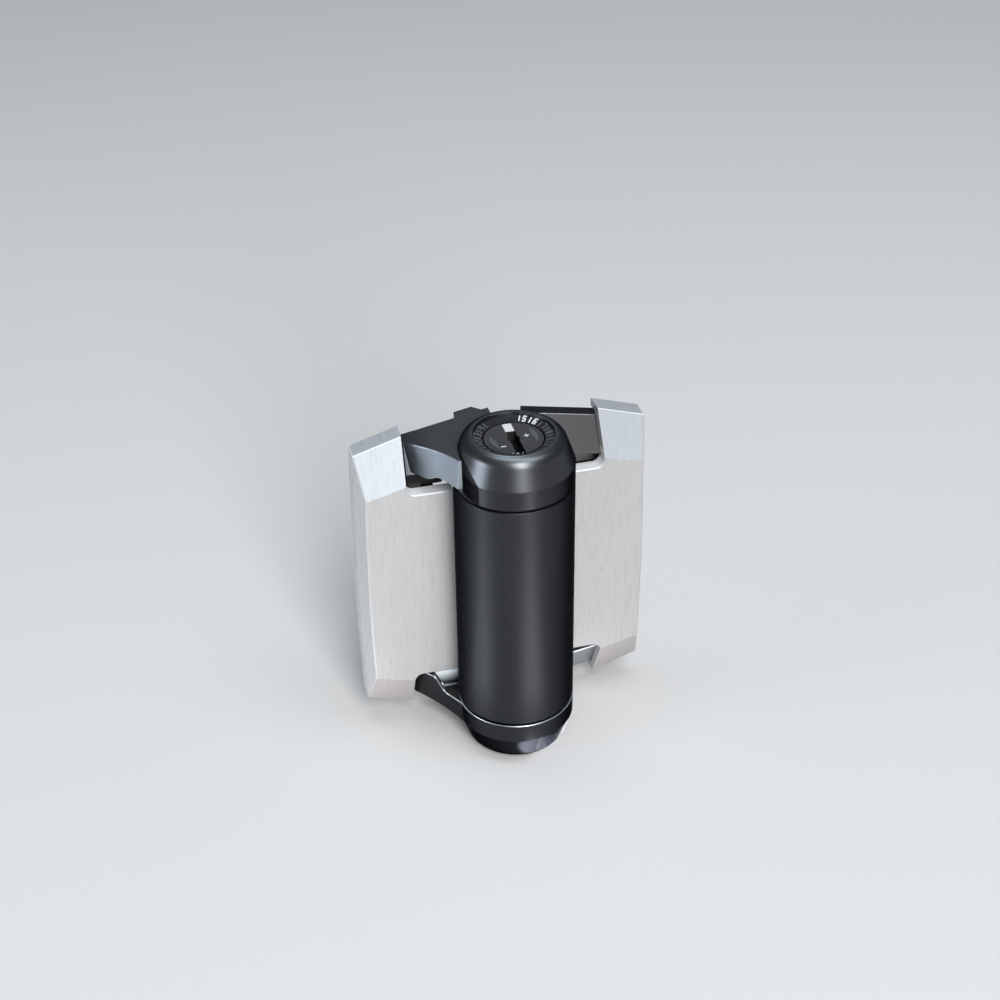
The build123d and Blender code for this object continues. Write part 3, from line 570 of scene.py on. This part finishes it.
def numbers(name, marks, material):
    """Raised digits and ticks on the dial ring, with their tops outwards."""
    maker = bmesh.new()
    for angle, mark in marks:
        if mark == "|":
            tick = bar(-TICK[0], 0, TICK[0], TICK[1])
            raise_outline(maker, turned(tick, angle, NUMBER_START), ring_height, TICK_RISE)
            continue
        for x0, y0, x1, y1 in STROKES[mark]:
            stroke = bar(x0 - 0.5, y0, x1 - 0.5, y1)
            raise_outline(maker, turned(stroke, angle, NUMBER_START), ring_height, NUMBER_RISE)
    return piece(name, maker, material, "post_side")


numbers("ring_numbers", [(-118, "|"), (-108, "1"), (-98, "|"), (-88, "2"), (-78, "|"), (-68, "3"),
                         (-58, "|"), (-48, "4"), (-38, "|"), (62, "|"), (71, "7"), (81, "|"), (91, "8"),
                         (101, "|"), (111, "9"), (121, "|"), (130, "|")], number_plastic)
# Painted highlight: the digits and ticks where the ring catches the light are white
numbers("ring_numbers_painted_highlight", [(24, "|"), (32, "5"), (42, "|"), (51, "6")], white_mark)


def crescent(maker, start, end):
    """Curved wedge on the disc that widens from a point to the middle and narrows again."""
    outer = []
    inner = []
    for i in range(ARROW_STEPS + 1):
        share = i / ARROW_STEPS
        a = radians(start + (end - start) * share)
        reach = ARROW_RADIUS - ARROW_WIDTH * sin(pi * share)
        outer.append((ARROW_RADIUS * sin(a), ARROW_RADIUS * cos(a)))
        inner.append((reach * sin(a), reach * cos(a)))
    for i in range(ARROW_STEPS):
        quad = [outer[i], outer[i + 1], inner[i + 1], inner[i]]
        if i == 0:
            quad = [outer[0], outer[1], inner[1]]
        if i == ARROW_STEPS - 1:
            quad = [outer[i], outer[i + 1], inner[i]]
        floor_points = [maker.verts.new((x, y, DISC_TOP - ARROW_SINK)) for x, y in quad]
        top_points = [maker.verts.new((x, y, DISC_TOP + ARROW_RISE)) for x, y in quad]
        close_block(maker, floor_points, top_points)


maker = bmesh.new()
crescent(maker, start=-135, end=-62)
crescent(maker, start=48, end=121)
piece("turn_arrows", maker, number_plastic, "tension_adjuster")

maker = bmesh.new()
long, short = SIGN_HALF
for x, y in (PLUS_PLACE, MINUS_PLACE):
    raise_outline(maker, bar(x - long, y - short, x + long, y + short), disc_height, SIGN_RISE)
x, y = PLUS_PLACE
raise_outline(maker, bar(x - short, y - long, x + short, y + long), disc_height, SIGN_RISE)
for angle, half in DOTS:
    dot = bar(-half, 0, half, DOT_LENGTH)
    raise_outline(maker, turned(dot, angle, DOT_START), disc_height, DOT_RISE)
piece("dial_marks", maker, white_mark, "tension_adjuster")


# Floor and light

def floor(height, half):
    mesh = bpy.data.meshes.new("floor")
    maker = bmesh.new()
    bmesh.ops.create_grid(maker, x_segments=1, y_segments=1, size=half)
    maker.to_mesh(mesh)
    maker.free()
    made = bpy.data.objects.new("floor", mesh)
    made.location.z = height
    mesh.materials.append(Shader("floor_pale", FLOOR_PALE, 0.9).material)
    scene.collection.objects.link(made)


def area_light(name, size, radiance, colour):
    """Rectangular lamp, as bright as it should look in a mirror."""
    data = bpy.data.lights.new(name, "AREA")
    data.shape = "RECTANGLE"
    data.size, data.size_y = size
    data.energy = radiance * pi * size[0] * size[1]
    data.color = colour
    made = bpy.data.objects.new(name, data)
    scene.collection.objects.link(made)
    return made


def lamp(name, way, distance, size, radiance, colour=(1, 1, 1)):
    """Lamp in a direction from the barrel, which faces it."""
    made = area_light(name, size, radiance, colour)
    made.location = Vector(way).normalized() * distance
    made.rotation_euler = (-Vector(way)).to_track_quat("-Z", "Y").to_euler()


def card(name, way, reach, width, radiance, colour=(1, 1, 1)):
    """Lamp lying on the floor, from one distance off the barrel to another, in millimetres."""
    made = area_light(name, ((reach[1] - reach[0]) * MM, width * MM), radiance, colour)
    heading = Vector((*way, 0)).normalized()
    middle = BARREL_RADIUS + sum(reach) / 2
    made.location = heading * middle * MM + Vector((0, 0, CARD_HEIGHT * MM))
    made.rotation_euler = (pi, 0, atan2(heading.y, heading.x))
    made.visible_camera = False


floor(FLOOR_HEIGHT * MM, half=3)
lamp("left", way=(-0.99, -0.14, 0.08), distance=0.9, size=(0.35, 0.28), radiance=8.5, colour=BLUE_LIGHT)
lamp("front", way=(0.03, -0.82, 0.57), distance=1.8, size=(0.56, 1.6), radiance=9.5)
lamp("top", way=(0.12, -0.1, 1.0), distance=1.2, size=(0.5, 1.3), radiance=3.0, colour=BLUE_LIGHT)
card("left_card", way=(-0.81, -0.23), reach=(25, 190), width=36, radiance=2.7)
card("front_card", way=(0.225, -0.97), reach=(25, 190), width=30, radiance=3.2, colour=WARM_LIGHT)
card("low_card", way=(0.6, -0.8), reach=(-5, 3.5), width=26, radiance=16)

world = bpy.data.worlds.new("studio")
scene.world = world
world.use_nodes = True
background = world.node_tree.nodes["Background"]
background.inputs["Color"].default_value = WORLD_LIGHT
background.inputs["Strength"].default_value = WORLD_STRENGTH


# Camera at the photograph's viewing angle

def add_camera(place, yaw, pitch, roll, lens):
    """Camera turned by yaw from the back, then down by pitch and round its own line by roll, in degrees."""
    yaw, pitch, roll = radians(yaw), radians(pitch), radians(roll)
    right = Vector((cos(yaw), -sin(yaw), 0))
    forward = Vector((sin(yaw) * cos(pitch), cos(yaw) * cos(pitch), -sin(pitch)))
    down = forward.cross(right)
    axis_x = right * cos(roll) - down * sin(roll)
    axis_y = -(right * sin(roll) + down * cos(roll))
    data = bpy.data.cameras.new("camera")
    data.lens = lens
    data.sensor_width = 36
    data.clip_start = 0.01
    made = bpy.data.objects.new("camera", data)
    turn = Matrix((axis_x, axis_y, -forward)).transposed().to_4x4()
    made.matrix_world = Matrix.Translation(place) @ turn
    scene.collection.objects.link(made)
    scene.camera = made


place = Vector((-101.95, -385.29, 291.40)) * MM
add_camera(place, yaw=14.286, pitch=33.416, roll=-0.762, lens=65.70)
scene.view_settings.view_transform = "Standard"
